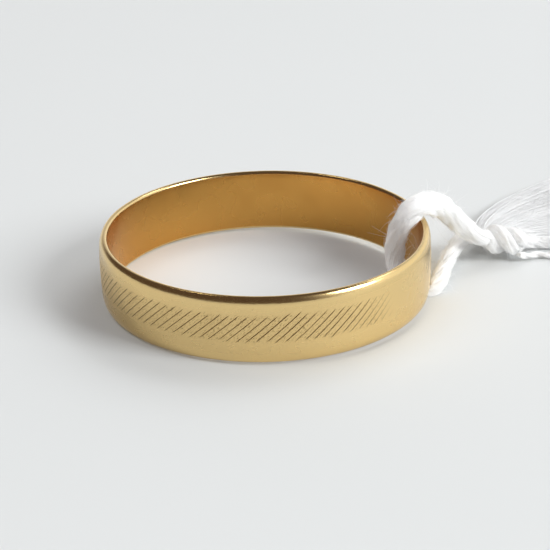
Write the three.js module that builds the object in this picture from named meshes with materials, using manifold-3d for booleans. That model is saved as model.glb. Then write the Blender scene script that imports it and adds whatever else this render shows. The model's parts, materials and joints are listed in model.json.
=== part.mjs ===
// A worn gold wedding band with the soft cotton string that is tied round it, as it lies on a table.
// Millimetres, +Z up. The origin is on the table, under the middle of the band. The string passes
// under the +X side of the band and lifts it a little, so the band leans on its -X edge.

import * as THREE from 'three';
import { mergeVertices } from 'three/addons/utils/BufferGeometryUtils.js';
import Module from 'manifold-3d';

const wasm = await Module();
wasm.setup();

// The band.
const BAND_RADIUS = 10;
const BAND_WIDTH = 4;
const WALL = 0.5;
const SHOULDER_WIDTH = 0.22;
const SHOULDER_HEIGHT = 0.34;
const INNER_ROUND = 0.17;
const CROWN = 0.04;
const BAND_SIDES = 96;
const ROUND_STEPS = 3;
const CROWN_STEPS = 6;

// How high the flattened string holds the band's +X edge.
const LIFT = 0.35;
const EDGE_RADIUS = BAND_RADIUS - CROWN - SHOULDER_WIDTH;
const TILT = Math.asin(LIFT / (2 * EDGE_RADIUS));

// The string: a loose cotton cord, and the finer yarns that its ends come apart into.
const STRING_DIAMETER = 1.3;
const END_DIAMETER = 0.75;
const YARN_DIAMETER = 0.45;
const STRING_SIDES = 8;
const GAP = 0.08;
const KNOT_CENTRE = new THREE.Vector3(15.3, 4.75, 1.12);
const KNOT_RADII = new THREE.Vector3(1.25, 1.15, 1.08);
const FRAY_THICKNESS = 0.7;

// Routes of the string's middle line. The loop leaves the knot low, goes flat under the wall, stands
// up inside the band, leans over the rim and comes down to the knot again.
const LOOP_ROUTE = [
  [13.7, 5.45, 1.3],
  [13.1, 5.5, 1.3],
  [12.55, 5.25, 1.15],
  [12, 4.4, 0.85],
  [11.4, 2.9, 0.6],
  [10.95, 1.4, 0.5],
  [10.6, 0.2, 0.42],
  [10.15, -0.4, 0.22],
  [9.6, -0.5, 0.14],
  [8.9, -0.2, 0.3],
  [8.3, 0.45, 0.62],
  [8, 1, 1.2],
  [7.95, 1.1, 2],
  [7.95, 0.8, 2.9],
  [8.05, 0.6, 3.75],
  [8.35, 0.5, 4.5],
  [8.8, 0.7, 5],
  [9.4, 1.2, 5.15],
  [10, 1.8, 4.98],
  [10.6, 2.5, 4.55],
  [11.1, 3.05, 4.05],
  [11.6, 3.5, 3.5],
  [12.1, 3.75, 2.95],
  [12.6, 3.9, 2.45],
  [13.1, 4, 2.05],
  [13.55, 4.05, 1.8],
];
const LONG_END_ROUTE = [
  [16.35, 5.3, 0.95],
  [17, 6, 0.6],
  [17.8, 6.4, 0.4],
  [18.8, 6.3, 0.38],
  [20.2, 5.9, 0.38],
  [21.8, 5.6, 0.38],
  [23.6, 5.5, 0.38],
];
const YARN_ROUTE = [
  [16.1, 4.05, 0.55],
  [16.8, 4.5, 0.3],
  [17.6, 4.8, 0.25],
  [18.6, 4.6, 0.25],
  [20.3, 4, 0.25],
  [22.4, 3.6, 0.25],
];

// The frayed end lies on the table as an open fan.
const FRAY_ROOT = [
  [14.2, 6],
  [15.9, 6],
];
const FRAY_NEAR_SIDE = [
  [18.2, 8.3],
  [23.2, 8.6],
];
const FRAY_TIP = [
  [26.5, 16],
  [23.8, 21.2],
];
const FRAY_FAR_SIDE = [
  [18.5, 18.4],
  [12.2, 12.4],
];

const GOLD = new THREE.MeshStandardMaterial({ color: 0xc9a961, metalness: 1, roughness: 0.35 });
const COTTON = new THREE.MeshStandardMaterial({ color: 0xf0efec, metalness: 0, roughness: 0.95 });

// A quarter of an ellipse round a wall corner, from the angle `start`, anticlockwise in the (r, z)
// plane.
function corner(points, r, z, width, height, start) {
  for (let i = 0; i <= ROUND_STEPS; i += 1) {
    const a = start + (i / ROUND_STEPS) * (Math.PI / 2);
    points.push(new THREE.Vector2(r + width * Math.cos(a), z + height * Math.sin(a)));
  }
}

// The band's wall turned about Z: soft shoulders outside, smaller rounded edges inside and a
// faintly crowned outer face. `grow` moves the whole surface outwards.
function bandGeometry(grow) {
  const wide = SHOULDER_WIDTH + grow;
  const tall = SHOULDER_HEIGHT + grow;
  const round = INNER_ROUND + grow;
  const outer = BAND_RADIUS - CROWN - SHOULDER_WIDTH;
  const inner = BAND_RADIUS - CROWN - WALL + INNER_ROUND;
  const low = SHOULDER_HEIGHT;
  const high = BAND_WIDTH - SHOULDER_HEIGHT;
  const profile = [];
  corner(profile, outer, low, wide, tall, -Math.PI / 2);
  for (let i = 1; i < CROWN_STEPS; i += 1) {
    const t = i / CROWN_STEPS;
    const bulge = CROWN * (1 - (2 * t - 1) ** 2);
    profile.push(new THREE.Vector2(outer + wide + bulge, low + t * (high - low)));
  }
  corner(profile, outer, high, wide, tall, 0);
  corner(profile, inner, BAND_WIDTH - INNER_ROUND, round, round, Math.PI / 2);
  corner(profile, inner, INNER_ROUND, round, round, Math.PI);
  profile.push(profile[0].clone());
  return new THREE.LatheGeometry(profile, BAND_SIDES).rotateX(Math.PI / 2);
}

// Carries a geometry from the band's own axes to the leaning band on the table.
function lean(geometry) {
  geometry.rotateY(-TILT);
  return geometry.translate((BAND_WIDTH / 2) * Math.sin(TILT), 0, EDGE_RADIUS * Math.sin(TILT));
}

// A round tube along a smooth curve through the route's points.
function cordGeometry(route, diameter) {
  const curve = new THREE.CatmullRomCurve3(route.map((p) => new THREE.Vector3(...p)));
  const section = new THREE.Shape();
  for (let i = 0; i < STRING_SIDES; i += 1) {
    const a = (2 * Math.PI * i) / STRING_SIDES;
    const x = (diameter / 2) * Math.cos(a);
    const y = (diameter / 2) * Math.sin(a);
    if (i === 0) section.moveTo(x, y);
    else section.lineTo(x, y);
  }
  section.closePath();
  const steps = 2 * (route.length - 1);
  return new THREE.ExtrudeGeometry(section, { steps, extrudePath: curve, bevelEnabled: false });
}

// The fan of loose fibres: a flat outline with soft sides, standing on the table.
function frayGeometry() {
  const outline = new THREE.Shape();
  outline.moveTo(...FRAY_ROOT[0]);
  outline.lineTo(...FRAY_ROOT[1]);
  outline.quadraticCurveTo(...FRAY_NEAR_SIDE[0], ...FRAY_NEAR_SIDE[1]);
  outline.quadraticCurveTo(...FRAY_TIP[0], ...FRAY_TIP[1]);
  outline.bezierCurveTo(...FRAY_FAR_SIDE[0], ...FRAY_FAR_SIDE[1], ...FRAY_ROOT[0]);
  const options = { depth: FRAY_THICKNESS, curveSegments: 8, bevelEnabled: false };
  return new THREE.ExtrudeGeometry(outline, options);
}

function solidOf(geometry) {
  const bare = geometry.clone();
  bare.deleteAttribute('normal');
  bare.deleteAttribute('uv');
  const merged = mergeVertices(bare, 1e-4);
  const vertProperties = new Float32Array(merged.attributes.position.array);
  const triVerts = new Uint32Array(merged.index.array);
  return new wasm.Manifold(new wasm.Mesh({ numProp: 3, vertProperties, triVerts }));
}

function geometryOf(solid) {
  const mesh = solid.getMesh();
  const geometry = new THREE.BufferGeometry();
  geometry.setAttribute('position', new THREE.BufferAttribute(mesh.vertProperties, 3));
  geometry.setIndex(new THREE.BufferAttribute(mesh.triVerts, 1));
  geometry.computeVertexNormals();
  return geometry;
}

// Everything below the table, and the room that the leaning band takes up, are cut off the string.
const TABLE = solidOf(new THREE.BoxGeometry(80, 80, 4).translate(0, 0, -2));
const BAND_ROOM = solidOf(lean(bandGeometry(GAP)));

const group = new THREE.Group();

function add(name, geometry, material) {
  const mesh = new THREE.Mesh(geometry, material);
  mesh.name = name;
  group.add(mesh);
}

add('band', lean(bandGeometry(0)), GOLD);

const loop = solidOf(cordGeometry(LOOP_ROUTE, STRING_DIAMETER)).subtract(TABLE).subtract(BAND_ROOM);
add('string_loop', geometryOf(loop), COTTON);

const knot = new THREE.SphereGeometry(1, 20, 12).rotateX(Math.PI / 2);
knot.scale(KNOT_RADII.x, KNOT_RADII.y, KNOT_RADII.z);
knot.translate(KNOT_CENTRE.x, KNOT_CENTRE.y, KNOT_CENTRE.z);
add('string_knot', knot, COTTON);

add('string_long_end', cordGeometry(LONG_END_ROUTE, END_DIAMETER), COTTON);
add('string_loose_yarn', cordGeometry(YARN_ROUTE, YARN_DIAMETER), COTTON);
add('string_frayed_end', frayGeometry(), COTTON);

export default group;
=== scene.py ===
"""A worn gold wedding band with a hatched outer face, and the cotton string tied round it.

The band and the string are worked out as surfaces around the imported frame. Sizes that a user
would change are properties, each piece is made by an operator, and a panel lists them.
"""

import json
import math

import bpy
import numpy as np
from bpy.props import FloatProperty, FloatVectorProperty, IntProperty, PointerProperty
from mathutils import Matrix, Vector


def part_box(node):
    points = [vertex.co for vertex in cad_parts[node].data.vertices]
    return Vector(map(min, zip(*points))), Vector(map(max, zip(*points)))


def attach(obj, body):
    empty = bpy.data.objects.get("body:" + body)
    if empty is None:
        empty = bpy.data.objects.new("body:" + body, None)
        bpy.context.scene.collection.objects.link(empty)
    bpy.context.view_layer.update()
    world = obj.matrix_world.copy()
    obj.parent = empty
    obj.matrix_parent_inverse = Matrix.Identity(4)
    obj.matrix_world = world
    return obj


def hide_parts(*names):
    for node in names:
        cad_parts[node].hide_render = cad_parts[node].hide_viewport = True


bl_info = {
    "name": "Wedding Band",
    "version": (1, 0, 0),
    "blender": (4, 5, 0),
    "location": "View3D > Sidebar > Wedding Band",
    "description": "Builds a worn, hatched gold wedding band and the cotton string tied round it",
    "category": "Add Mesh",
}

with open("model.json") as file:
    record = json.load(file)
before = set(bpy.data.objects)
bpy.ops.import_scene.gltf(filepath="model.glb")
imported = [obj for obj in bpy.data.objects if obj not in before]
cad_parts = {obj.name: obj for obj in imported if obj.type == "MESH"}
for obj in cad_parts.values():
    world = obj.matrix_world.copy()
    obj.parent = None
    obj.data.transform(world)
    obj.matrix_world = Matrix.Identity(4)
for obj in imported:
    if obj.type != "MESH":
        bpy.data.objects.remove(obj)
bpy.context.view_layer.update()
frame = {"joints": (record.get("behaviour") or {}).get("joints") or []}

MM = 0.001
TURN = 2 * math.pi

# The joint between string and band stands at the band's middle, along the band's own axis.
JOINT = frame["joints"][0]
BAND_CENTRE = np.array(JOINT["pos_m"], float)
BAND_AXIS = np.array(JOINT["axis"], float) / np.linalg.norm(JOINT["axis"])
BAND_LOW, BAND_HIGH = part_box("band")
BAND_RADIUS = (BAND_HIGH.y - BAND_LOW.y) / 2
HALF_WIDTH = 2 * MM

# The bore, behind a wall of 0.5 mm and a crown of 0.04 mm. The string is kept out of the wall.
BORE_RADIUS = BAND_RADIUS - 0.54 * MM

# The angle of the first hatch line, and where the columns stand in the space that each line has.
FIRST_LINE = math.radians(-91.1)
COLUMNS = np.array([-0.5, -0.32, -0.19, -0.115, -0.06, 0.0, 0.06, 0.115, 0.19, 0.32])

# Small knocks in the outer face: angle in degrees, then height, half width, half height and depth in
# millimetres.
KNOCKS = [
    (-34.5, 2.0, 0.13, 0.2, 0.03),
    (-104.5, 2.62, 0.08, 0.08, 0.03),
    (-80.6, 2.51, 0.07, 0.07, 0.03),
    (-131, 3.55, 0.16, 0.08, 0.02),
    (-63, 3.3, 0.2, 0.07, 0.012),
    (150, 2.4, 0.14, 0.1, 0.03),
    (62, 0.8, 0.1, 0.16, 0.025),
]

# The string's routes in millimetres, as its solids have them: the loop from the knot, flat under the
# wall, up inside the band, over the rim and down to the knot; then the two ends.
LOOP_ROUTE = [
    (13.7, 5.45, 1.3),
    (13.1, 5.5, 1.3),
    (12.55, 5.25, 1.15),
    (12, 4.4, 0.85),
    (11.4, 2.9, 0.6),
    (10.95, 1.4, 0.5),
    (10.6, 0.2, 0.42),
    (10.15, -0.4, 0.22),
    (9.6, -0.5, 0.14),
    (8.9, -0.2, 0.3),
    (8.3, 0.45, 0.62),
    (8, 1, 1.2),
    (7.95, 1.1, 2),
    (7.95, 0.8, 2.9),
    (8.05, 0.6, 3.75),
    (8.35, 0.5, 4.5),
    (8.8, 0.7, 5),
    (9.4, 1.2, 5.15),
    (10, 1.8, 4.98),
    (10.6, 2.5, 4.55),
    (11.1, 3.05, 4.05),
    (11.6, 3.5, 3.5),
    (12.1, 3.75, 2.95),
    (12.6, 3.9, 2.45),
    (13.1, 4, 2.05),
    (13.55, 4.05, 1.8),
]
LONG_END_ROUTE = [
    (16.35, 5.3, 0.95),
    (17, 6, 0.6),
    (17.8, 6.4, 0.4),
    (18.8, 6.3, 0.38),
    (20.2, 5.9, 0.38),
    (21.8, 5.6, 0.38),
    (23.6, 5.5, 0.38),
]
YARN_ROUTE = [
    (16.1, 4.05, 0.55),
    (16.8, 4.5, 0.3),
    (17.6, 4.8, 0.25),
    (18.6, 4.6, 0.25),
    (20.3, 4, 0.25),
    (22.4, 3.6, 0.25),
]
SHORT_END_ROUTE = [
    (14.9, 7.4, 0.5),
    (15.1, 6.8, 0.6),
    (15.6, 6.1, 0.75),
]

# The knot: two strands that turn about one line, in millimetres.
KNOT_START = np.array([14.1, 4.8, 1.4])
KNOT_END = np.array([16.2, 4.75, 1.2])
KNOT_TURNS = 0.95

# Shares of the string's thickness: how far each yarn's middle is from the string's, and its radius.
YARN_OFFSET = 0.19
YARN_RADIUS = 0.31

# Sides and rings of one fibre, and how high everything is kept above the table, in millimetres.
FIBRE_SIDES = 3
FIBRE_RINGS = 7
TABLE_GAP = 0.012

# How full the string is along its way, as (share of the length, share of the diameter).
FULLNESS = [
    (0, 0.5),
    (0.07, 0.66),
    (0.15, 0.68),
    (0.2, 0.72),
    (0.3, 0.7),
    (0.4, 0.72),
    (0.47, 0.92),
    (0.54, 1.14),
    (0.62, 1.02),
    (0.68, 0.8),
    (0.73, 0.7),
    (0.79, 0.66),
    (0.83, 0.55),
    (1, 0.5),
]

# The frayed fan's outline in millimetres: root, far and near edges' bends, and its outer end.
FRAY_ROOT = np.array([(13.8, 6.2), (15.9, 6)])
FRAY_BENDS = np.array([(13.4, 12.6), (18.2, 8.3)])
FRAY_ENDS = np.array([(23.8, 21.2), (26.5, 16), (23.2, 8.6)])
FRAY_RINGS = 12

DAYLIGHT = "#fbfdff"
LAMPLIGHT = "#fff8ec"


def linear(hex_code):
    """The linear RGBA of an sRGB hex colour."""
    channels = [int(hex_code[i : i + 2], 16) / 255 for i in (1, 3, 5)]
    return (*(c / 12.92 if c <= 0.04045 else ((c + 0.055) / 1.055) ** 2.4 for c in channels), 1.0)


# --- Properties -----------------------------------------------------------------------------


class BandSettings(bpy.types.PropertyGroup):
    """Sizes and colours of the gold band."""

    width: FloatProperty(
        name="Width", description="Height of the band along its axis", default=4.0 * MM, unit="LENGTH"
    )
    wall: FloatProperty(
        name="Wall", description="Thickness of the gold", default=0.5 * MM, unit="LENGTH"
    )
    shoulder_width: FloatProperty(
        name="Shoulder width", description="How far each outer edge is worn in", default=0.26 * MM,
        unit="LENGTH",
    )
    shoulder_height: FloatProperty(
        name="Shoulder height", description="How far each outer edge is worn down", default=0.6 * MM,
        unit="LENGTH",
    )
    inner_round: FloatProperty(
        name="Inner rounding", description="Radius on each inner edge", default=0.17 * MM, unit="LENGTH"
    )
    crown: FloatProperty(
        name="Crown", description="How far the outer face bulges", default=0.04 * MM, unit="LENGTH"
    )
    line_count: IntProperty(
        name="Lines", description="Hatch lines round the whole band", default=115, min=8
    )
    slant: FloatProperty(
        name="Slant", description="Angle of the lines to the edge", default=math.radians(41.5),
        unit="ROTATION",
    )
    cut_width: FloatProperty(
        name="Cut width", description="Width of one engraved line", default=0.075 * MM, unit="LENGTH"
    )
    cut_depth: FloatProperty(
        name="Cut depth", description="Depth of one engraved line", default=0.03 * MM, unit="LENGTH"
    )
    zone_low: FloatProperty(
        name="Hatch from", description="Lower edge of the hatching", default=1.26 * MM, unit="LENGTH"
    )
    zone_high: FloatProperty(
        name="Hatch to", description="Upper edge of the hatching", default=3.04 * MM, unit="LENGTH"
    )
    worn_from: FloatProperty(
        name="Worn from", description="Where the worn stretch starts", default=math.radians(-47),
        unit="ROTATION",
    )
    worn_to: FloatProperty(
        name="Worn to", description="Where the worn stretch ends", default=math.radians(14),
        unit="ROTATION",
    )
    gold: FloatVectorProperty(
        name="Gold", description="Colour of the outside", subtype="COLOR", size=4,
        default=linear("#e9cb8f"),
    )
    # Painted shade and painted reflection: the bore's gold is painted deeper and darker than the outside,
    # though the alloy is the same.
    painted_bore_gold: FloatVectorProperty(
        name="Bore gold with painted shade", description="Colour of the bore", subtype="COLOR", size=4,
        default=linear("#d29d51"),
    )
    # A darker colour at the bottom of the cuts and in the grain.
    cut_colour: FloatVectorProperty(
        name="Cut colour", description="Colour at the bottom of the cuts", subtype="COLOR", size=4,
        default=linear("#5f4420"),
    )


class StringSettings(bpy.types.PropertyGroup):
    """Sizes and colours of the cotton string."""

    diameter: FloatProperty(
        name="Diameter", description="Thickness of the whole string", default=1.3 * MM, unit="LENGTH"
    )
    lying_fibres: IntProperty(
        name="Lying fibres", description="Fibres that lie along the yarns", default=5000, min=0
    )
    yarns: IntProperty(name="Yarns", description="Yarns twisted together", default=5, min=2)
    pitch: FloatProperty(
        name="Twist pitch", description="Length of one turn of the yarns", default=8.5 * MM, unit="LENGTH"
    )
    loose_fibres: IntProperty(
        name="Loose fibres", description="Stray fibres along the string", default=1500, min=0
    )
    fan_fibres: IntProperty(
        name="Fan fibres", description="Fibres in the frayed end", default=1500, min=10
    )
    cotton: FloatVectorProperty(
        name="Cotton", description="Colour of the yarn", subtype="COLOR", size=4,
        default=linear("#fcfcfb"),
    )
    # Painted light: the brightener is an emission that lifts the string's shaded sides; cotton gives off
    # no light of its own.
    painted_glow: FloatVectorProperty(
        name="Painted brightness", description="Painted light: an emission that lifts the thread's shaded sides", subtype="COLOR", size=4,
        default=linear("#464748"),
    )


class StageSettings(bpy.types.PropertyGroup):
    """Floor, light and camera."""

    floor: FloatVectorProperty(
        name="Floor", description="Colour of the table", subtype="COLOR", size=4,
        default=linear("#dcdede"),
    )
    key: FloatProperty(
        name="Window", description="Power of the window on the right", default=3.3, unit="POWER"
    )
    back: FloatProperty(
        name="Softbox", description="Power of the softbox behind", default=1.35, unit="POWER"
    )
    strip: FloatProperty(name="Strip", description="Power of the strip light", default=0.24, unit="POWER")
    lamp: FloatProperty(
        name="Ceiling lamp", description="Power of the small lamp", default=0.05, unit="POWER"
    )
    fill: FloatProperty(
        name="Left fill", description="Power of the soft light on the left", default=2.0, unit="POWER"
    )
    lens: FloatProperty(name="Lens", description="Focal length", default=102.2, unit="CAMERA")


# --- Mesh and node helpers -------------------------------------------------------------------


def mesh_object(name, points, faces):
    """An object from an array of points and a list of faces, shaded smooth."""
    mesh = bpy.data.meshes.new(name)
    mesh.from_pydata(points.reshape(-1, 3), [], faces)
    mesh.update()
    mesh.polygons.foreach_set("use_smooth", np.ones(len(mesh.polygons), bool))
    piece = bpy.data.objects.new(name, mesh)
    bpy.context.scene.collection.objects.link(piece)
    return piece


def grid_faces(columns, rows, closed):
    """Corner indices of the quads of a grid that wraps across its rows, and if closed also round."""
    i = np.arange(columns if closed else columns - 1)
    j = np.arange(rows)
    i, j = np.meshgrid(i, j, indexing="ij")
    ni, nj = (i + 1) % columns, (j + 1) % rows
    return np.stack([i * rows + j, ni * rows + j, ni * rows + nj, i * rows + nj], -1).reshape(-1, 4)


def set_attribute(piece, name, values):
    """Stores one number for each point of a piece's mesh."""
    data = piece.data.attributes.new(name, "FLOAT", "POINT").data
    data.foreach_set("value", np.asarray(values, np.float32).ravel())


def smooth_step(low, high, x):
    """0 below low, 1 above high, and a smooth rise between."""
    t = np.clip((x - low) / (high - low), 0, 1)
    return t * t * (3 - 2 * t)


def between(low, high, soft, x):
    """1 between low and high and 0 outside them, with an edge soft by that much inside."""
    return smooth_step(low, low + soft, x) * (1 - smooth_step(high - soft, high, x))


def unit(vectors):
    """The vectors, each made one long."""
    return vectors / np.maximum(np.linalg.norm(vectors, axis=-1, keepdims=True), 1e-12)


def add_node(tree, kind, settings=None, links=None):
    """Adds a node, sets its attributes and sockets by name, and joins outputs to its inputs."""
    made = tree.nodes.new(kind)
    for key, value in (settings or {}).items():
        if hasattr(made, key):
            setattr(made, key, value)
        else:
            made.inputs[key].default_value = value
    for key, output in (links or {}).items():
        tree.links.new(output, made.inputs[key])
    return made


def cloud_noise(tree, scale, detail):
    """Soft even noise through the piece's own space, from 0 to 1."""
    place = add_node(tree, "ShaderNodeTexCoord").outputs["Object"]
    noise = add_node(tree, "ShaderNodeTexNoise", {"Scale": scale, "Detail": detail}, {"Vector": place})
    return noise.outputs["Fac"]


def map_range(tree, value, span, result):
    """A value carried from one span of numbers to another, and held at both ends."""
    settings = {"From Min": span[0], "From Max": span[1], "To Min": result[0], "To Max": result[1]}
    return add_node(tree, "ShaderNodeMapRange", settings, {"Value": value}).outputs["Result"]


def mix_colours(tree, factor, first, second):
    """The first colour where the factor is 0, the second where it is 1."""
    made = add_node(tree, "ShaderNodeMix", {"data_type": "RGBA"}, {"Factor": factor})
    made.inputs[6].default_value = first
    made.inputs[7].default_value = second
    return made.outputs[2]


def new_material(name):
    """An empty node material with its output and Principled shader."""
    material = bpy.data.materials.new(name)
    material.use_nodes = True
    tree = material.node_tree
    tree.nodes.clear()
    shader = tree.nodes.new("ShaderNodeBsdfPrincipled")
    output = tree.nodes.new("ShaderNodeOutputMaterial")
    tree.links.new(shader.outputs["BSDF"], output.inputs["Surface"])
    return material, tree, shader


# --- The band ---------------------------------------------------------------------------------


def corner(r, z, width, height, start):
    """A quarter of an ellipse round a wall corner in the (radius, height) plane, from an angle on."""
    a = start + np.linspace(0, math.pi / 2, 8)
    return np.stack([r + width * np.cos(a), z + height * np.sin(a)], -1)


def band_profile(band):
    """The wall's section as rows of (radius, height), from the outer face's foot round to the start.

    A faintly crowned face and a straight bore, joined by quarter ellipses. Also says which finish
    each row has: 0 the outer face, 1 an edge, 2 the bore."""
    wide, tall, e, h = band.shoulder_width, band.shoulder_height, band.inner_round, band.width
    outer, inner = BAND_RADIUS - band.crown - wide, BAND_RADIUS - band.crown - band.wall + e
    t = np.linspace(0, 1, 31)[1:-1]
    face = np.stack([outer + wide + band.crown * (1 - (2 * t - 1) ** 2), tall + t * (h - 2 * tall)], -1)
    bore = np.stack([np.full(9, inner - e), h - e - np.linspace(0, 1, 11)[1:-1] * (h - 2 * e)], -1)
    rows = [
        (corner(outer, tall, wide, tall, -math.pi / 2), 1),
        (face, 0),
        (corner(outer, h - tall, wide, tall, 0), 1),
        (corner(inner, h - e, e, e, math.pi / 2), 1),
        (bore, 2),
        (corner(inner, e, e, e, math.pi), 1),
    ]
    return np.concatenate([p for p, _ in rows]), np.concatenate([np.full(len(p), k) for p, k in rows])


def place_on_band(radius, angle, height):
    """Points in the frame, from the band's own radius, angle and height above its foot."""
    side = unit(np.cross([0, 1.0, 0], BAND_AXIS))
    depth = np.cross(BAND_AXIS, side)
    foot = BAND_CENTRE - BAND_AXIS * HALF_WIDTH
    return (
        foot
        + (radius * np.cos(angle))[..., None] * side
        + (radius * np.sin(angle))[..., None] * depth
        + height[..., None] * BAND_AXIS
    )


def wear_left(band, angle):
    """1 where the hatching is crisp, falling to 0 over the stretch that wear has rubbed bare."""
    a = (angle + math.pi) % TURN - math.pi
    soft = math.radians(7)
    return 1 - between(band.worn_from - soft, band.worn_to + soft, 2 * soft, a)


def cut_across(offset, half_width):
    """Depth of a cut across its line: a V with a raised burr beside it. 1 at the bottom."""
    x = np.abs(offset) / half_width
    return np.clip(1 - x, 0, 1) - 0.16 * np.exp(-(((x - 1.45) / 0.4) ** 2))


def soft_dents(angle, height, rng):
    """Shallow waves of wear: a sum of slow sines round the band and across it, about -1 to 1."""
    total = np.zeros(np.broadcast(angle, height).shape)
    for _ in range(14):
        around, across = rng.integers(4, 26), rng.uniform(0.3, 1.6) / (2 * HALF_WIDTH)
        total += np.sin(around * angle + TURN * across * height + rng.uniform(0, TURN))
    return total / 5


def knocks(angle, height):
    """Depth of the knocks in the face: a sum of soft round hollows."""
    total = np.zeros_like(angle)
    for at, up, wide, tall, deep in KNOCKS:
        away = ((angle - math.radians(at) + math.pi) % TURN - math.pi) * BAND_RADIUS / (wide * MM)
        total += deep * MM * np.exp(-(away**2) - ((height - up * MM) / (tall * MM)) ** 2)
    return total


def build_band(band):
    """The whole wall as one closed grid of hatch-aligned columns by profile rows.

    Columns lean with the hatch lines across the face and crowd together at each line, so the
    lines are real cuts. radius = profile radius + dents - cut depth - knocks."""
    rng = np.random.default_rng(11)
    profile, finish = band_profile(band)
    line = np.repeat(np.arange(band.line_count), len(COLUMNS))
    offset = np.tile(COLUMNS, band.line_count)
    spacing = TURN / band.line_count
    column = FIRST_LINE + (line + offset) * spacing
    face, edge, bore = (finish == kind for kind in range(3))

    radius, height = profile[:, 0], profile[:, 1]
    middle = (band.zone_low + band.zone_high) / 2
    reach = (band.zone_high - band.zone_low) / 2 + 0.25 * MM
    lean = np.clip(height - middle, -reach, reach) / (BAND_RADIUS * math.tan(band.slant))
    angle = column[:, None] + lean[None, :]

    low = band.zone_low + rng.normal(0, 0.045 * MM, band.line_count)
    high = band.zone_high + rng.normal(0, 0.05 * MM, band.line_count)
    strength = np.clip(rng.normal(1, 0.16, band.line_count), 0.6, 1.4)
    shift = rng.normal(0, 0.035, band.line_count)
    fade = 0.22 * MM
    along = between(low[line][:, None], high[line][:, None], fade, height)
    half = band.cut_width / 2 / (spacing * BAND_RADIUS)
    left = wear_left(band, angle)
    cut = cut_across(offset, half)[:, None] * along * strength[line][:, None] * left * face
    angle = angle + (shift[line] * spacing)[:, None] * face * along

    outward = np.where(bore, 0.35, np.where(edge, 0.8, 1.0))
    dents = soft_dents(angle, height, rng) * 0.007 * MM * outward
    wall_radius = radius + dents - cut * band.cut_depth - knocks(angle, height) * face
    points = place_on_band(wall_radius, angle, np.broadcast_to(height, angle.shape))

    columns, rows = angle.shape
    piece = mesh_object("gold_band", points, grid_faces(columns, rows, True))
    set_attribute(piece, "cut", np.clip(cut, 0, 1))
    zone = between(band.zone_low - fade, band.zone_high + fade, 2 * fade, height)
    set_attribute(piece, "hatched", zone * left * face)
    band_uv(piece, column, lean, profile)
    for make in (outer_gold, edge_gold, painted_bore_gold):
        piece.data.materials.append(make(band))
    row_finish = np.where(edge, np.roll(finish, -1), finish)
    piece.data.polygons.foreach_set("material_index", np.tile(row_finish, columns).astype(np.int32))
    return piece


def band_uv(piece, column, lean, profile):
    """A UV map in millimetres: u runs round the band and v round its section."""
    rows = len(profile)
    step = np.linalg.norm(np.diff(profile, axis=0, append=profile[:1]), axis=1)
    v = np.concatenate([[0], np.cumsum(step)])
    ahead = np.append(column, column[0] + TURN)
    i, j = np.meshgrid(np.arange(len(column)), np.arange(rows), indexing="ij")
    uv = []
    for a, b in [(i, j), (i + 1, j), (i + 1, j + 1), (i, j + 1)]:
        u = (ahead[a] + lean[b % rows]) * BAND_RADIUS
        uv.append(np.stack([u, v[b]], -1).reshape(-1, 2))
    layer = piece.data.uv_layers.new(name="UVMap")
    layer.data.foreach_set("uv", (np.stack(uv, 1) / MM).astype(np.float32).ravel())


def stretched_noise(tree, uv, across, along, turn=0.0):
    """Noise drawn out along a direction of the UV map, from sizes in millimetres and an angle."""
    settings = {"vector_type": "TEXTURE", "Rotation": (0, 0, turn), "Scale": (along, across, 1)}
    place = add_node(tree, "ShaderNodeMapping", settings, {"Vector": uv})
    noise = add_node(
        tree, "ShaderNodeTexNoise", {"Scale": 1.0, "Detail": 3.0, "Roughness": 0.6},
        {"Vector": place.outputs["Vector"]},
    )
    return noise.outputs["Fac"]


def bump(tree, height, strength, depth, under=None):
    """A bump node over another's normal. The strength is a number or another node's output."""
    made = add_node(tree, "ShaderNodeBump", {"Distance": depth}, {"Height": height})
    if isinstance(strength, float):
        made.inputs["Strength"].default_value = strength
    else:
        tree.links.new(strength, made.inputs["Strength"])
    if under is not None:
        tree.links.new(under, made.inputs["Normal"])
    return made.outputs["Normal"]


def maths(tree, operation, first, second):
    """A maths node on an output and a number or another output."""
    made = add_node(tree, "ShaderNodeMath", {"operation": operation}, {0: first})
    if isinstance(second, float):
        made.inputs[1].default_value = second
    else:
        tree.links.new(second, made.inputs[1])
    return made.outputs["Value"]


def outer_gold(band):
    """18 carat yellow gold, engraved and long worn: a satin shine, and dull grain between the cuts."""
    material, tree, shader = new_material("Worn engraved yellow gold")
    shader.inputs["Metallic"].default_value = 1.0
    uv = add_node(tree, "ShaderNodeUVMap", {"uv_map": "UVMap"}).outputs["UV"]
    cut = add_node(tree, "ShaderNodeAttribute", {"attribute_name": "cut"}).outputs["Fac"]
    hatched = add_node(tree, "ShaderNodeAttribute", {"attribute_name": "hatched"}).outputs["Fac"]
    rough = map_range(tree, cloud_noise(tree, 700.0, 3.0), (0.3, 0.7), (0.22, 0.32))
    duller = maths(tree, "MULTIPLY", hatched, 0.08)
    tree.links.new(maths(tree, "ADD", rough, duller), shader.inputs["Roughness"])
    dashes = stretched_noise(tree, uv, 0.05, 0.16, band.slant)
    grain = map_range(tree, dashes, (0.5, 0.72), (0.0, 0.55))
    pitted = maths(tree, "MULTIPLY", grain, hatched)
    # The colour turns darker at the bottom of the cuts and in the grain.
    darkened = map_range(tree, maths(tree, "MAXIMUM", cut, pitted), (0.1, 0.55), (0.0, 0.95))
    tree.links.new(mix_colours(tree, darkened, band.gold, band.cut_colour), shader.inputs["Base Color"])
    scratches = bump(tree, stretched_noise(tree, uv, 0.03, 1.2), 0.25, 0.004 * MM)
    matte = bump(tree, dashes, maths(tree, "MULTIPLY", hatched, 0.9), 0.012 * MM, scratches)
    tree.links.new(matte, shader.inputs["Normal"])
    return material


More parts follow.
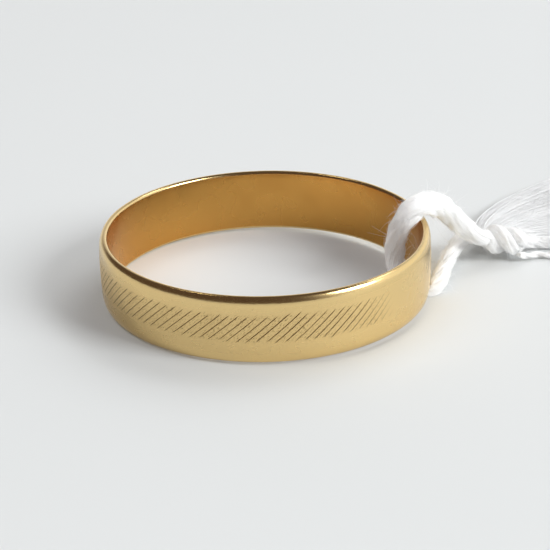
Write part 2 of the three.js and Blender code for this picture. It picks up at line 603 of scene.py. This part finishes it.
def edge_gold(band):
    """The same gold on the edges, where handling keeps it bright: a sharper shine with small nicks."""
    material, tree, shader = new_material("Rubbed bright gold edge")
    shader.inputs["Metallic"].default_value = 1.0
    shader.inputs["Base Color"].default_value = band.gold
    shader.inputs["Roughness"].default_value = 0.2
    uv = add_node(tree, "ShaderNodeUVMap", {"uv_map": "UVMap"}).outputs["UV"]
    nicks = bump(tree, stretched_noise(tree, uv, 0.08, 0.3), 0.5, 0.006 * MM)
    tree.links.new(nicks, shader.inputs["Normal"])
    return material


def painted_bore_gold(band):
    """The same gold in the bore, painted deeper and darker in colour as painted shade and painted
    gold-on-gold reflection: smoothed by the finger, with fine lines round it.
    """
    material, tree, shader = new_material("Smooth inner gold with painted shade")
    shader.inputs["Metallic"].default_value = 1.0
    # Painted shade: the bore's deeper, darker colour.
    shader.inputs["Base Color"].default_value = band.painted_bore_gold
    rough = map_range(tree, cloud_noise(tree, 450.0, 2.0), (0.3, 0.7), (0.22, 0.36))
    tree.links.new(rough, shader.inputs["Roughness"])
    uv = add_node(tree, "ShaderNodeUVMap", {"uv_map": "UVMap"}).outputs["UV"]
    lines = bump(tree, stretched_noise(tree, uv, 0.05, 2.0), 0.3, 0.004 * MM)
    tree.links.new(lines, shader.inputs["Normal"])
    return material


# --- The string -------------------------------------------------------------------------------


def smooth_route(route, step=0.12):
    """Evenly spaced points, in millimetres, on a Catmull-Rom curve through the route's points."""
    p = np.array(route, float)
    p = np.concatenate([2 * p[:1] - p[1:2], p, 2 * p[-1:] - p[-2:-1]])
    t = np.linspace(0, 1, 24, endpoint=False)[:, None, None]
    a, b, c, d = p[:-3], p[1:-2], p[2:-1], p[3:]
    square, cube = 2 * a - 5 * b + 4 * c - d, 3 * b - a - 3 * c + d
    curve = 0.5 * (2 * b + (c - a) * t + square * t**2 + cube * t**3)
    curve = np.concatenate([curve.transpose(1, 0, 2).reshape(-1, 3), p[-2:-1]])
    along = np.concatenate([[0], np.cumsum(np.linalg.norm(np.diff(curve, axis=0), axis=1))])
    at = np.linspace(0, along[-1], int(along[-1] / step) + 1)
    return np.stack([np.interp(at, along, curve[:, k]) for k in range(3)], -1)


def knot_pass(phase, back=False):
    """One strand's way through the knot: a helix round the line from KNOT_START to KNOT_END.

    Its radius is 0.36 mm at both ends of the knot and 0.5 mm in the middle."""
    t = np.linspace(0, 1, 11)[:, None]
    turn = phase + t * KNOT_TURNS * TURN
    bulge = 0.36 + 0.14 * np.sin(math.pi * t)
    line = KNOT_START + (KNOT_END - KNOT_START) * t
    points = line + bulge * (np.cos(turn) * [0, 1, 0] + np.sin(turn) * [0, 0, 1])
    return [tuple(q) for q in (points[::-1] if back else points)]


def string_route():
    """The whole string's points: short end, knot, loop, knot again, long end.

    The two passes through the knot stand half a turn apart."""
    low_pass = knot_pass(math.radians(-30), back=True)
    high_pass = knot_pass(math.radians(150))
    return [*SHORT_END_ROUTE, *low_pass, *LOOP_ROUTE, *high_pass, *LONG_END_ROUTE]


def carried_frames(line):
    """Tangents and two side directions along a line, turned as little as can be between points."""
    tangent = unit(np.gradient(line, axis=0))
    side = np.zeros_like(line)
    side[0] = unit(np.cross(tangent[0], [0.1, 0.2, 1.0]))
    for i in range(1, len(line)):
        side[i] = side[i - 1] - tangent[i] * (side[i - 1] @ tangent[i])
        side[i] /= np.linalg.norm(side[i])
    return tangent, side, np.cross(tangent, side)


def keep_clear(points, gap=0.05):
    """Points, in millimetres, pushed above the table and out of the band's wall by the shortest way."""
    p = points.copy()
    centre = BAND_CENTRE / MM
    outer, inner, half = BAND_RADIUS / MM + gap, BORE_RADIUS / MM - gap, HALF_WIDTH / MM + gap
    for _ in range(3):
        away = p - centre
        height = away @ BAND_AXIS
        flat = away - height[..., None] * BAND_AXIS
        r = np.linalg.norm(flat, axis=-1)
        depth = np.stack([outer - r, r - inner, half - height, height + half])
        inside = (depth > 0).all(0)
        outward = flat / np.maximum(r, 1e-9)[..., None]
        ways = (outward, -outward, BAND_AXIS, -BAND_AXIS)
        pushes = [way * deep[..., None] for way, deep in zip(ways, depth)]
        p = p + np.choose(depth.argmin(0)[..., None], pushes) * inside[..., None]
        p[..., 2] = np.maximum(p[..., 2], TABLE_GAP)
    return p


def tube_faces(tubes, rings, sides):
    """Faces of many tubes of the same size, quads along them and a cap on each end."""
    wall = grid_faces(rings, sides, False)
    start = np.arange(tubes)[:, None, None] * rings * sides
    quads = (start + wall[None]).reshape(-1, 4)
    ring = np.arange(sides)
    caps = np.concatenate([start[:, 0] + ring[::-1], start[:, 0] + (rings - 1) * sides + ring])
    return quads.tolist() + caps.tolist()


def twisted_yarns(line, thickness, yarns, pitch, sides):
    """Yarns twisted round a line: centre = line + a circle that turns once per pitch.

    Each yarn swells and thins a little, and its own finer plies show as flutes that turn the other
    way round it. Returns points (yarn, ring, side, 3) in millimetres."""
    _, side, up = carried_frames(line)
    step = np.linalg.norm(np.diff(line, axis=0), axis=1).mean()
    s = np.arange(len(line)) * step
    a = np.linspace(0, TURN, sides, endpoint=False)
    ring = np.cos(a)[None, :, None] * side[:, None] + np.sin(a)[None, :, None] * up[:, None]
    points = []
    for k in range(yarns):
        turn = TURN * (s / pitch + k / yarns) + 0.35 * np.sin(s / 2.1 + k)
        turn = turn + 0.15 * np.sin(s / 0.8 + 3 * k)
        swell = 1 + 0.1 * np.sin(s / 0.7 + 2 * k) + 0.05 * np.sin(s / 0.27 + 5 * k)
        way = np.cos(turn)[:, None] * side + np.sin(turn)[:, None] * up
        offset = YARN_OFFSET * thickness * (1 + 0.12 * np.sin(s / 1.3 + 4 * k))
        centre = line + offset[:, None] * way
        flutes = 1 + 0.09 * np.sin(5 * (a[None, :] - 0.9 * turn[:, None]) + k)
        flutes = flutes + 0.04 * np.sin(3 * a[None, :] + s[:, None] / 0.21 + k)
        size = (YARN_RADIUS * thickness * swell)[:, None] * flutes
        points.append(centre[:, None] + ring * size[..., None])
    return np.array(points)


def strand_uv(piece, rings, sides, tubes, length):
    """A UV map in millimetres along the yarn, with u round it, for the wall quads."""
    i, j = np.meshgrid(np.arange(rings - 1), np.arange(sides), indexing="ij")
    corners = [(i, j), (i + 1, j), (i + 1, j + 1), (i, j + 1)]
    uv = np.stack([np.stack([b / sides, a * length / rings], -1).reshape(-1, 2) for a, b in corners], 1)
    whole = np.concatenate([np.tile(uv.reshape(-1, 2), (tubes, 1)), np.zeros((2 * tubes * sides, 2))])
    piece.data.uv_layers.new(name="UVMap").data.foreach_set("uv", whole.astype(np.float32).ravel())


def hair_tubes(lines, radius):
    """Thin tubes round many short lines (tube, ring, 3), tapering to their tips."""
    tangent = unit(np.gradient(lines, axis=1))
    mean = unit(lines[:, -1] - lines[:, 0])[:, None]
    helper = np.where(np.abs(mean[..., 2:]) < 0.8, [0, 0, 1.0], [1.0, 0, 0])
    side = unit(np.cross(tangent, helper))
    up = np.cross(tangent, side)
    taper = np.linspace(1, 0.25, lines.shape[1])[None, :] * radius[:, None]
    a = np.linspace(0, TURN, FIBRE_SIDES, endpoint=False)
    ring = np.cos(a)[:, None] * side[:, :, None] + np.sin(a)[:, None] * up[:, :, None]
    return lines[:, :, None] + ring * taper[..., None, None]


def lying_fibres(yarns, count, rng):
    """Fibres that lie along the yarns: each follows one yarn's surface for a way and lifts at its end.

    point(t) = surface point at t + outward * lift * t^2."""
    stride = rng.integers(1, 5, count)
    k = rng.integers(0, yarns.shape[0], count)
    j = rng.integers(0, yarns.shape[2], count)
    i = (rng.random(count) * (yarns.shape[1] - stride * (FIBRE_RINGS - 1))).astype(int)
    steps = np.arange(FIBRE_RINGS)[None, :]
    on = i[:, None] + stride[:, None] * steps
    line = yarns[k[:, None], on, j[:, None]]
    outward = unit(line - yarns.mean(2)[k[:, None], on])
    t = np.linspace(0, 1, FIBRE_RINGS)[None, :, None]
    lift = rng.uniform(0.0, 0.16, (count, 1, 1)) * t**2 + 0.006
    return line + outward * lift + rng.normal(0, 0.03, (count, 1, 3)) * t


def stray_fibres(line, thickness, count, rng):
    """Loose fibres of a yarn: each starts inside it, runs along it and curls away.

    point(t) = start + along * t + outward * lift * t^2 + a slow wave."""
    tangent, side, up = carried_frames(line)
    i = rng.integers(2, len(line) - 2, count)
    around = rng.uniform(0, TURN, count)[:, None]
    outward = np.cos(around) * side[i] + np.sin(around) * up[i]
    start = line[i] + outward * thickness[i][:, None] * rng.uniform(0.34, 0.48, (count, 1))
    way = rng.choice([-1, 1], (count, 1)) * tangent[i] + rng.normal(0, 0.45, (count, 3))
    t = np.linspace(0, 1, FIBRE_RINGS)[None, :, None]
    reach = rng.uniform(0.5, 1.6, (count, 1, 1))
    lift = rng.uniform(0.05, 0.5, (count, 1, 1)) ** 1.3
    wave = rng.normal(0, 0.1, (count, 1, 3)) * np.sin(t * rng.uniform(2, 6, (count, 1, 1)))
    curl = unit(way)[:, None] * t * 0.8 + outward[:, None] * lift * t**2 + wave
    return start[:, None] + reach * curl


def cotton_material(settings):
    """Soft bleached cotton yarn: matt, milky, with short fibres lying along the twist."""
    material, tree, shader = new_material("Soft white cotton yarn")
    # Painted light: a faint emission that lifts the yarn's shaded sides.
    shader.inputs["Emission Color"].default_value = settings.painted_glow
    shader.inputs["Emission Strength"].default_value = 1.0
    shader.inputs["Roughness"].default_value = 0.92
    shader.inputs["Specular IOR Level"].default_value = 0.25
    shader.inputs["Sheen Weight"].default_value = 0.35
    shader.inputs["Sheen Roughness"].default_value = 0.5
    shader.inputs["Subsurface Weight"].default_value = 0.3
    shader.inputs["Subsurface Radius"].default_value = (1.0, 0.95, 0.9)
    shader.inputs["Subsurface Scale"].default_value = 0.2 * MM
    uv = add_node(tree, "ShaderNodeUVMap", {"uv_map": "UVMap"}).outputs["UV"]
    fibres = add_node(tree, "ShaderNodeMapping", {"Scale": (26, 0.8, 1)}, {"Vector": uv})
    lines = add_node(
        tree, "ShaderNodeTexNoise", {"Scale": 1.0, "Detail": 4.0, "Roughness": 0.65},
        {"Vector": fibres.outputs["Vector"]},
    )
    shade = mix_colours(tree, cloud_noise(tree, 900.0, 3.0), settings.cotton, linear("#f4f4f2"))
    tree.links.new(shade, shader.inputs["Base Color"])
    tree.links.new(bump(tree, lines.outputs["Fac"], 0.5, 0.04 * MM), shader.inputs["Normal"])
    return material


def fibre_material(settings, name, shade, painted_glow):
    """Single cotton fibres: matt and nearly white, with a second shade here and there.

    The last argument is the strength of an emission that lifts the fibres' shaded sides: painted light."""
    material, tree, shader = new_material(name)
    # Painted light: an emission that lifts the fibres' shaded sides.
    shader.inputs["Emission Color"].default_value = settings.painted_glow
    shader.inputs["Emission Strength"].default_value = painted_glow
    shader.inputs["Roughness"].default_value = 0.8
    shader.inputs["Sheen Weight"].default_value = 0.3
    mixed = mix_colours(tree, cloud_noise(tree, 600.0, 2.0), settings.cotton, linear(shade))
    tree.links.new(mixed, shader.inputs["Base Color"])
    return material


def length_of(line):
    """The length of a line of points."""
    return float(np.linalg.norm(np.diff(line, axis=0), axis=1).sum())


def strand(name, line, thickness, yarns, pitch, sides, settings):
    """One twisted strand as a piece, and its yarns' points for the fibres on them."""
    points = keep_clear(twisted_yarns(line, thickness, yarns, pitch, sides))
    piece = mesh_object(name, points * MM, tube_faces(yarns, len(line), sides))
    strand_uv(piece, len(line), sides, yarns, length_of(line))
    piece.data.materials.append(cotton_material(settings))
    return piece, points


def fibre_piece(name, lines, radius, material):
    """Many thin three-sided fibres as one piece."""
    tubes = keep_clear(hair_tubes(keep_clear(lines), radius), gap=0.02)
    piece = mesh_object(name, tubes * MM, tube_faces(len(lines), lines.shape[1], FIBRE_SIDES))
    piece.data.materials.append(material)
    return piece


def build_string(settings):
    """The twisted string along its whole route, and the fibres on it and standing out of it."""
    rng = np.random.default_rng(23)
    line = smooth_route(string_route())
    share, full = np.array(FULLNESS).T
    thickness = settings.diameter / MM * np.interp(np.linspace(0, 1, len(line)), share, full)
    pitch = settings.pitch / MM
    string, yarns = strand("tag_string", line, thickness, settings.yarns, pitch, 18, settings)
    material = fibre_material(settings, "Bleached cotton fibre", "#fdfdfc", 1.0)
    lying = lying_fibres(yarns, settings.lying_fibres, rng)
    nap = fibre_piece("string_nap", lying, rng.uniform(0.009, 0.02, len(lying)), material)
    stray = stray_fibres(line, thickness, settings.loose_fibres, rng)
    fuzz = fibre_piece("string_fuzz", stray, rng.uniform(0.006, 0.011, len(stray)), material)
    return string, nap, fuzz, line * MM


def build_loose_yarn(settings):
    """The yarn that has come out of the long end: two thin plies and their nap."""
    rng = np.random.default_rng(31)
    line = smooth_route(YARN_ROUTE, 0.08)
    thickness = np.full(len(line), 0.42)
    piece, yarns = strand("loose_yarn", line, thickness, 2, 2.2, 10, settings)
    lying = lying_fibres(yarns, 260, rng)
    material = fibre_material(settings, "Loose yarn fibre", "#f4f4f3", 0.3)
    nap = fibre_piece("loose_yarn_nap", lying, rng.uniform(0.006, 0.011, len(lying)), material)
    return piece, nap


def bend(points, t):
    """The quadratic Bezier curve of three control points at t."""
    a, b, c = points
    return (1 - t) ** 2 * a + 2 * t * (1 - t) * b + t**2 * c


def build_frayed_end(settings):
    """The short end's yarns opened into a fan on the table.

    Each fibre has a share of the way from the fan's far edge to its near one. It is a Bezier curve
    from the root, by the share's bend, to the share's point on the outer end, and settles down."""
    rng = np.random.default_rng(47)
    count = settings.fan_fibres
    share = rng.beta(0.85, 1.0, (count, 1))
    root = FRAY_ROOT[0] + (FRAY_ROOT[1] - FRAY_ROOT[0]) * share + rng.normal(0, 0.12, (count, 2))
    middle = FRAY_BENDS[0] + (FRAY_BENDS[1] - FRAY_BENDS[0]) * share + rng.normal(0, 0.3, (count, 2))
    end = bend(FRAY_ENDS, share) + rng.normal(0, 0.25, (count, 2))
    reach = np.clip(rng.normal(0.9, 0.16, (count, 1, 1)), 0.35, 1.0)
    t = np.linspace(0, 1, FRAY_RINGS)[None, :, None] * reach
    flat = bend((root[:, None], middle[:, None], end[:, None]), t)
    wave = rng.normal(0, 0.16, (count, 1, 2)) * np.sin(t * rng.uniform(4, 11, (count, 1, 1))) * t
    floating = rng.uniform(0.02, 0.6, (count, 1, 1)) ** 1.4
    rise = 0.75 * (1 - t) ** 3 + floating * (1 - 0.6 * t) + 0.25 * np.abs(wave[..., :1])
    line = np.concatenate([flat + wave, rise], -1)
    wisp = rng.random(count) < 0.16
    radius = np.where(wisp, rng.uniform(0.03, 0.06, count), rng.uniform(0.009, 0.02, count))
    material = fibre_material(settings, "Spread cotton fibre", "#e9eaea", 0.35)
    return fibre_piece("frayed_end", line, radius, material)


# --- The stage --------------------------------------------------------------------------------


def area_light(name, place, size, power, colour, mirrored):
    """A soft rectangular light that faces the band, in metres. Unmirrored ones aren't seen in metal."""
    light = bpy.data.lights.new(name, "AREA")
    light.shape = "RECTANGLE"
    light.size, light.size_y = size
    light.energy = power
    light.color = linear(colour)[:3]
    lamp = bpy.data.objects.new(name, light)
    lamp.location = place
    lamp.rotation_euler = (-Vector(place)).to_track_quat("-Z", "Y").to_euler()
    lamp.visible_glossy = mirrored
    bpy.context.scene.collection.objects.link(lamp)


def build_camera(stage):
    """The camera, about 9 cm away and 24 degrees up, aimed a little right of the band's front."""
    camera = bpy.data.cameras.new("camera")
    camera.lens = stage.lens
    camera.sensor_width = 36.0
    camera.clip_start = 0.005
    holder = bpy.data.objects.new("camera", camera)
    place = Vector((0, -86.59, 40.6)) * MM
    aim = Vector((0.56, -2.51, 2.2)) * MM
    holder.location = place
    holder.rotation_euler = (aim - place).to_track_quat("-Z", "Y").to_euler()
    bpy.context.scene.collection.objects.link(holder)
    bpy.context.scene.camera = holder


def build_floor(stage):
    """A matt pale sheet under everything."""
    half = 0.6
    points = np.array([(-half, -half, 0), (half, -half, 0), (half, half, 0), (-half, half, 0)])
    floor = mesh_object("table", points, [(0, 1, 2, 3)])
    material, tree, shader = new_material("Matt white card")
    shader.inputs["Roughness"].default_value = 0.75
    shader.inputs["Specular IOR Level"].default_value = 0.2
    shade = mix_colours(tree, cloud_noise(tree, 25.0, 3.0), stage.floor, linear("#d9dcdb"))
    tree.links.new(shade, shader.inputs["Base Color"])
    floor.data.materials.append(material)


def build_world():
    """A room that is bright low down at the back and on the right, and dim overhead and in front.

    The camera itself sees a plain pale wall behind the table in place of the room."""
    world = bpy.data.worlds.new("room")
    bpy.context.scene.world = world
    world.use_nodes = True
    tree = world.node_tree
    tree.nodes.clear()
    way = add_node(tree, "ShaderNodeTexCoord").outputs["Generated"]
    parts = add_node(tree, "ShaderNodeSeparateXYZ", None, {"Vector": way})
    across = maths(tree, "MULTIPLY", parts.outputs["X"], 0.45)
    low = map_range(tree, maths(tree, "SUBTRACT", parts.outputs["Z"], across), (0.3, 0.62), (1.0, 0.0))
    behind = maths(tree, "ADD", parts.outputs["X"], parts.outputs["Y"])
    bright = maths(tree, "MULTIPLY", low, map_range(tree, behind, (-0.4, 0.6), (0.0, 1.0)))
    colour = mix_colours(tree, bright, linear("#544843"), linear("#f8fafc"))
    room = add_node(tree, "ShaderNodeBackground", {"Strength": 1.1}, {"Color": colour})
    wall = add_node(tree, "ShaderNodeBackground", {"Strength": 0.9, "Color": linear("#f2f4f4")})
    seen = add_node(tree, "ShaderNodeLightPath").outputs["Is Camera Ray"]
    mixed = add_node(tree, "ShaderNodeMixShader", None, {"Fac": seen})
    tree.links.new(room.outputs["Background"], mixed.inputs[1])
    tree.links.new(wall.outputs["Background"], mixed.inputs[2])
    output = tree.nodes.new("ShaderNodeOutputWorld")
    tree.links.new(mixed.outputs["Shader"], output.inputs["Surface"])


# --- Operators --------------------------------------------------------------------------------


class WEDDINGBAND_OT_stage(bpy.types.Operator):
    """Makes the camera, the table, the room and the five lights"""

    bl_idname = "wedding_band.stage"
    bl_label = "Stage"

    def execute(self, context):
        stage = context.scene.wedding_stage
        build_camera(stage)
        build_floor(stage)
        build_world()
        lights = (
            ("window", (0.524, -0.244, 0.348), (0.27, 0.30), stage.key, DAYLIGHT, True),
            ("back_softbox", (0.26, 0.42, 0.52), (0.48, 0.40), stage.back, DAYLIGHT, False),
            ("strip", (0.26, 0.24, 0.42), (0.36, 0.07), stage.strip, DAYLIGHT, True),
            ("ceiling_lamp", (-0.126, 0.171, 0.396), (0.05, 0.05), stage.lamp, LAMPLIGHT, True),
            ("left_fill", (-0.34, -0.20, 0.56), (0.60, 0.60), stage.fill, DAYLIGHT, False),
        )
        for light in lights:
            area_light(*light)
        bpy.context.scene.view_settings.view_transform = "Standard"
        return {"FINISHED"}


class WEDDINGBAND_OT_string(bpy.types.Operator):
    """Makes the tied cotton string, its loose yarn and its frayed end"""

    bl_idname = "wedding_band.string"
    bl_label = "String"

    def execute(self, context):
        settings = context.scene.wedding_string
        string, nap, fuzz, path = build_string(settings)
        yarn, yarn_nap = build_loose_yarn(settings)
        fan = build_frayed_end(settings)
        for piece in (string, nap, fuzz, yarn, yarn_nap, fan):
            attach(piece, "string")
        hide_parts("string_loop", "string_knot", "string_long_end")
        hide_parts("string_loose_yarn")
        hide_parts("string_frayed_end")
        return {"FINISHED"}


class WEDDINGBAND_OT_band(bpy.types.Operator):
    """Makes the hatched gold band"""

    bl_idname = "wedding_band.band"
    bl_label = "Gold band"

    def execute(self, context):
        piece = build_band(context.scene.wedding_band)
        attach(piece, "band")
        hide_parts("band")
        return {"FINISHED"}


class VIEW3D_PT_wedding_band(bpy.types.Panel):
    """Lists the sizes and the pieces of the wedding band"""

    bl_label = "Wedding Band"
    bl_space_type = "VIEW_3D"
    bl_region_type = "UI"
    bl_category = "Wedding Band"

    def draw(self, context):
        layout = self.layout
        scene = context.scene
        for group, label in (
            (scene.wedding_stage, "Stage"),
            (scene.wedding_string, "String"),
            (scene.wedding_band, "Band"),
        ):
            layout.label(text=label)
            for name in group.bl_rna.properties.keys():
                if name not in ("rna_type", "name"):
                    layout.prop(group, name)
        for operator in (WEDDINGBAND_OT_stage, WEDDINGBAND_OT_string, WEDDINGBAND_OT_band):
            layout.operator(operator.bl_idname)


CLASSES = (
    BandSettings,
    StringSettings,
    StageSettings,
    WEDDINGBAND_OT_stage,
    WEDDINGBAND_OT_string,
    WEDDINGBAND_OT_band,
    VIEW3D_PT_wedding_band,
)


def register():
    """Adds the classes and the scene's settings."""
    for cls in CLASSES:
        bpy.utils.register_class(cls)
    bpy.types.Scene.wedding_band = PointerProperty(type=BandSettings)
    bpy.types.Scene.wedding_string = PointerProperty(type=StringSettings)
    bpy.types.Scene.wedding_stage = PointerProperty(type=StageSettings)


def unregister():
    """Takes the settings and the classes away again."""
    del bpy.types.Scene.wedding_stage
    del bpy.types.Scene.wedding_string
    del bpy.types.Scene.wedding_band
    for cls in reversed(CLASSES):
        bpy.utils.unregister_class(cls)


def main():
    register()
    bpy.ops.wedding_band.stage()
    bpy.ops.wedding_band.string()
    bpy.ops.wedding_band.band()


if __name__ == "__main__":
    main()
